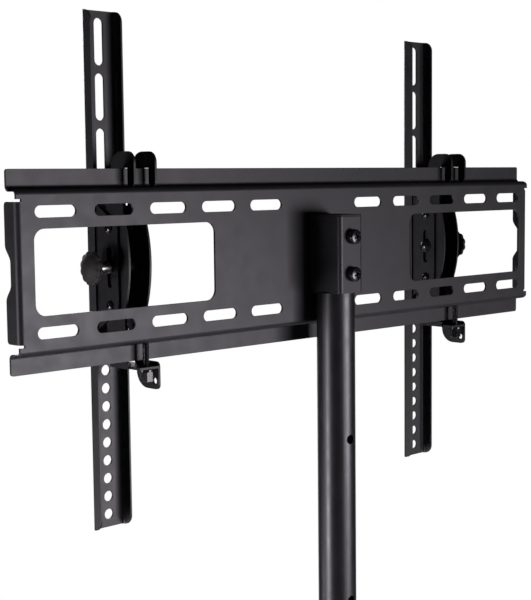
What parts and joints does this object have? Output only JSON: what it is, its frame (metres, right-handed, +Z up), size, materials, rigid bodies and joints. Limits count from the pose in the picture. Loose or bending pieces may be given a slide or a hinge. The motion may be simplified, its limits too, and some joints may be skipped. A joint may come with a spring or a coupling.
{
  "type": "television floor stand",
  "caption": "Television floor stand: round telescoping pole on a flat base, slotted steel wall plate, and two hook-on channel arms that slide and tilt.",
  "frame": {"origin": "on the floor, on the pole's axis", "axes": "+Z up, -Y towards the screen, +X to the left as seen from behind"},
  "size_m": [0.648, 0.44, 1.4445],
  "materials": {
    "plate_coat": "satin, fine texture",
    "bracket_coat": "satin, fine texture",
    "pole_coat": "satin",
    "base_coat": "satin, fine texture",
    "dark_fastener": "black oxide, semi-gloss",
    "zinc_steel": "zinc plated",
    "bright_steel": "turned steel",
    "black_plastic": "matte",
    "foot_rubber": "matte"
  },
  "bodies": {
    "base": {"base_plate": "base_coat", "rubber_feet": "foot_rubber", "pole_flange": "base_coat", "base_bolts": "dark_fastener", "lower_pole": "pole_coat", "pole_bush": "black_plastic", "clamp_collar": "black_plastic"},
    "height_stud": {"height_lock_stud": "bright_steel"},
    "height_knob": {"height_knob": "black_plastic"},
    "mast": {"upper_pole": "pole_coat", "pole_top_disc": "pole_coat", "column_head": "plate_coat", "head_cap": "black_plastic", "head_bolts": "dark_fastener", "head_washers": "zinc_steel", "head_nuts": "zinc_steel", "wall_plate": "plate_coat"},
    "hooks_left": {"hook_bracket_left": "bracket_coat", "pivot_spacer_left": "dark_fastener"},
    "arm_left": {"arm_left": "plate_coat", "tilt_bracket_left": "bracket_coat", "arm_rivets_left": "dark_fastener", "pivot_bolt_left": "dark_fastener", "guide_screws_left": "dark_fastener", "guide_nuts_left": "dark_fastener"},
    "knob_sleeve_left": {"knob_sleeve_left": "bright_steel"},
    "tilt_knob_left": {"tilt_knob_left": "black_plastic"},
    "security_washer_left": {"security_washer_left": "dark_fastener"},
    "security_screw_left": {"security_screw_left": "dark_fastener"},
    "hooks_right": {"hook_bracket_right": "bracket_coat", "pivot_spacer_right": "dark_fastener"},
    "arm_right": {"arm_right": "plate_coat", "tilt_bracket_right": "bracket_coat", "arm_rivets_right": "dark_fastener", "pivot_bolt_right": "dark_fastener", "guide_screws_right": "dark_fastener", "guide_nuts_right": "dark_fastener"},
    "knob_sleeve_right": {"knob_sleeve_right": "bright_steel"},
    "tilt_knob_right": {"tilt_knob_right": "black_plastic"},
    "security_washer_right": {"security_washer_right": "dark_fastener"},
    "security_screw_right": {"security_screw_right": "dark_fastener"}
  },
  "joints": [
    {"name": "pole_height", "type": "slide", "parent": "base", "child": "mast", "axis": [0, 0, 1], "range_m": [-0.3, 0.15]},
    {"name": "height_stud_travel", "type": "slide", "parent": "base", "child": "height_stud", "axis": [0, 1, 0], "range_m": [-0.004, 0.006]},
    {"name": "height_knob_turn", "type": "hinge", "parent": "height_stud", "child": "height_knob", "pos_m": [0, 0.05, 0.7675], "axis": [0, 1, 0], "range_deg": [-1150, 1725]},
    {"name": "hooks_left_slide", "type": "slide", "parent": "mast", "child": "hooks_left", "axis": [1, 0, 0], "range_m": [-0.09, 0.09]},
    {"name": "arm_left_tilt", "type": "hinge", "parent": "hooks_left", "child": "arm_left", "pos_m": [0.2005, -0.052, 1.233], "axis": [1, 0, 0], "range_deg": [-10, 10]},
    {"name": "knob_sleeve_left_travel", "type": "slide", "parent": "arm_left", "child": "knob_sleeve_left", "axis": [1, 0, 0], "range_m": [0, 0.0025]},
    {"name": "tilt_knob_left_turn", "type": "hinge", "parent": "knob_sleeve_left", "child": "tilt_knob_left", "pos_m": [0.234, -0.052, 1.233], "axis": [1, 0, 0], "range_deg": [0, 719]},
    {"name": "security_washer_left_travel", "type": "slide", "parent": "hooks_left", "child": "security_washer_left", "axis": [0, 0, 1], "range_m": [-0.018, 0]},
    {"name": "security_screw_left_turn", "type": "hinge", "parent": "security_washer_left", "child": "security_screw_left", "pos_m": [0.2005, -0.025, 1.155], "axis": [0, 0, 1], "range_deg": [-6475, 0]},
    {"name": "hooks_right_slide", "type": "slide", "parent": "mast", "child": "hooks_right", "axis": [1, 0, 0], "range_m": [-0.09, 0.09]},
    {"name": "arm_right_tilt", "type": "hinge", "parent": "hooks_right", "child": "arm_right", "pos_m": [-0.206, -0.052, 1.233], "axis": [1, 0, 0], "range_deg": [-10, 10]},
    {"name": "knob_sleeve_right_travel", "type": "slide", "parent": "arm_right", "child": "knob_sleeve_right", "axis": [-1, 0, 0], "range_m": [0, 0.0025]},
    {"name": "tilt_knob_right_turn", "type": "hinge", "parent": "knob_sleeve_right", "child": "tilt_knob_right", "pos_m": [-0.2395, -0.052, 1.233], "axis": [-1, 0, 0], "range_deg": [0, 719]},
    {"name": "security_washer_right_travel", "type": "slide", "parent": "hooks_right", "child": "security_washer_right", "axis": [0, 0, 1], "range_m": [-0.018, 0]},
    {"name": "security_screw_right_turn", "type": "hinge", "parent": "security_washer_right", "child": "security_screw_right", "pos_m": [-0.206, -0.025, 1.155], "axis": [0, 0, 1], "range_deg": [-6475, 0]}
  ],
  "couplings": [
    {"joint": "height_stud_travel", "follows": "height_knob_turn", "m_per_rad": 0.00019894},
    {"joint": "knob_sleeve_left_travel", "follows": "tilt_knob_left_turn", "m_per_rad": 0.00019894},
    {"joint": "security_washer_left_travel", "follows": "security_screw_left_turn", "m_per_rad": 0.00015915},
    {"joint": "knob_sleeve_right_travel", "follows": "tilt_knob_right_turn", "m_per_rad": 0.00019894},
    {"joint": "security_washer_right_travel", "follows": "security_screw_right_turn", "m_per_rad": 0.00015915}
  ]
}
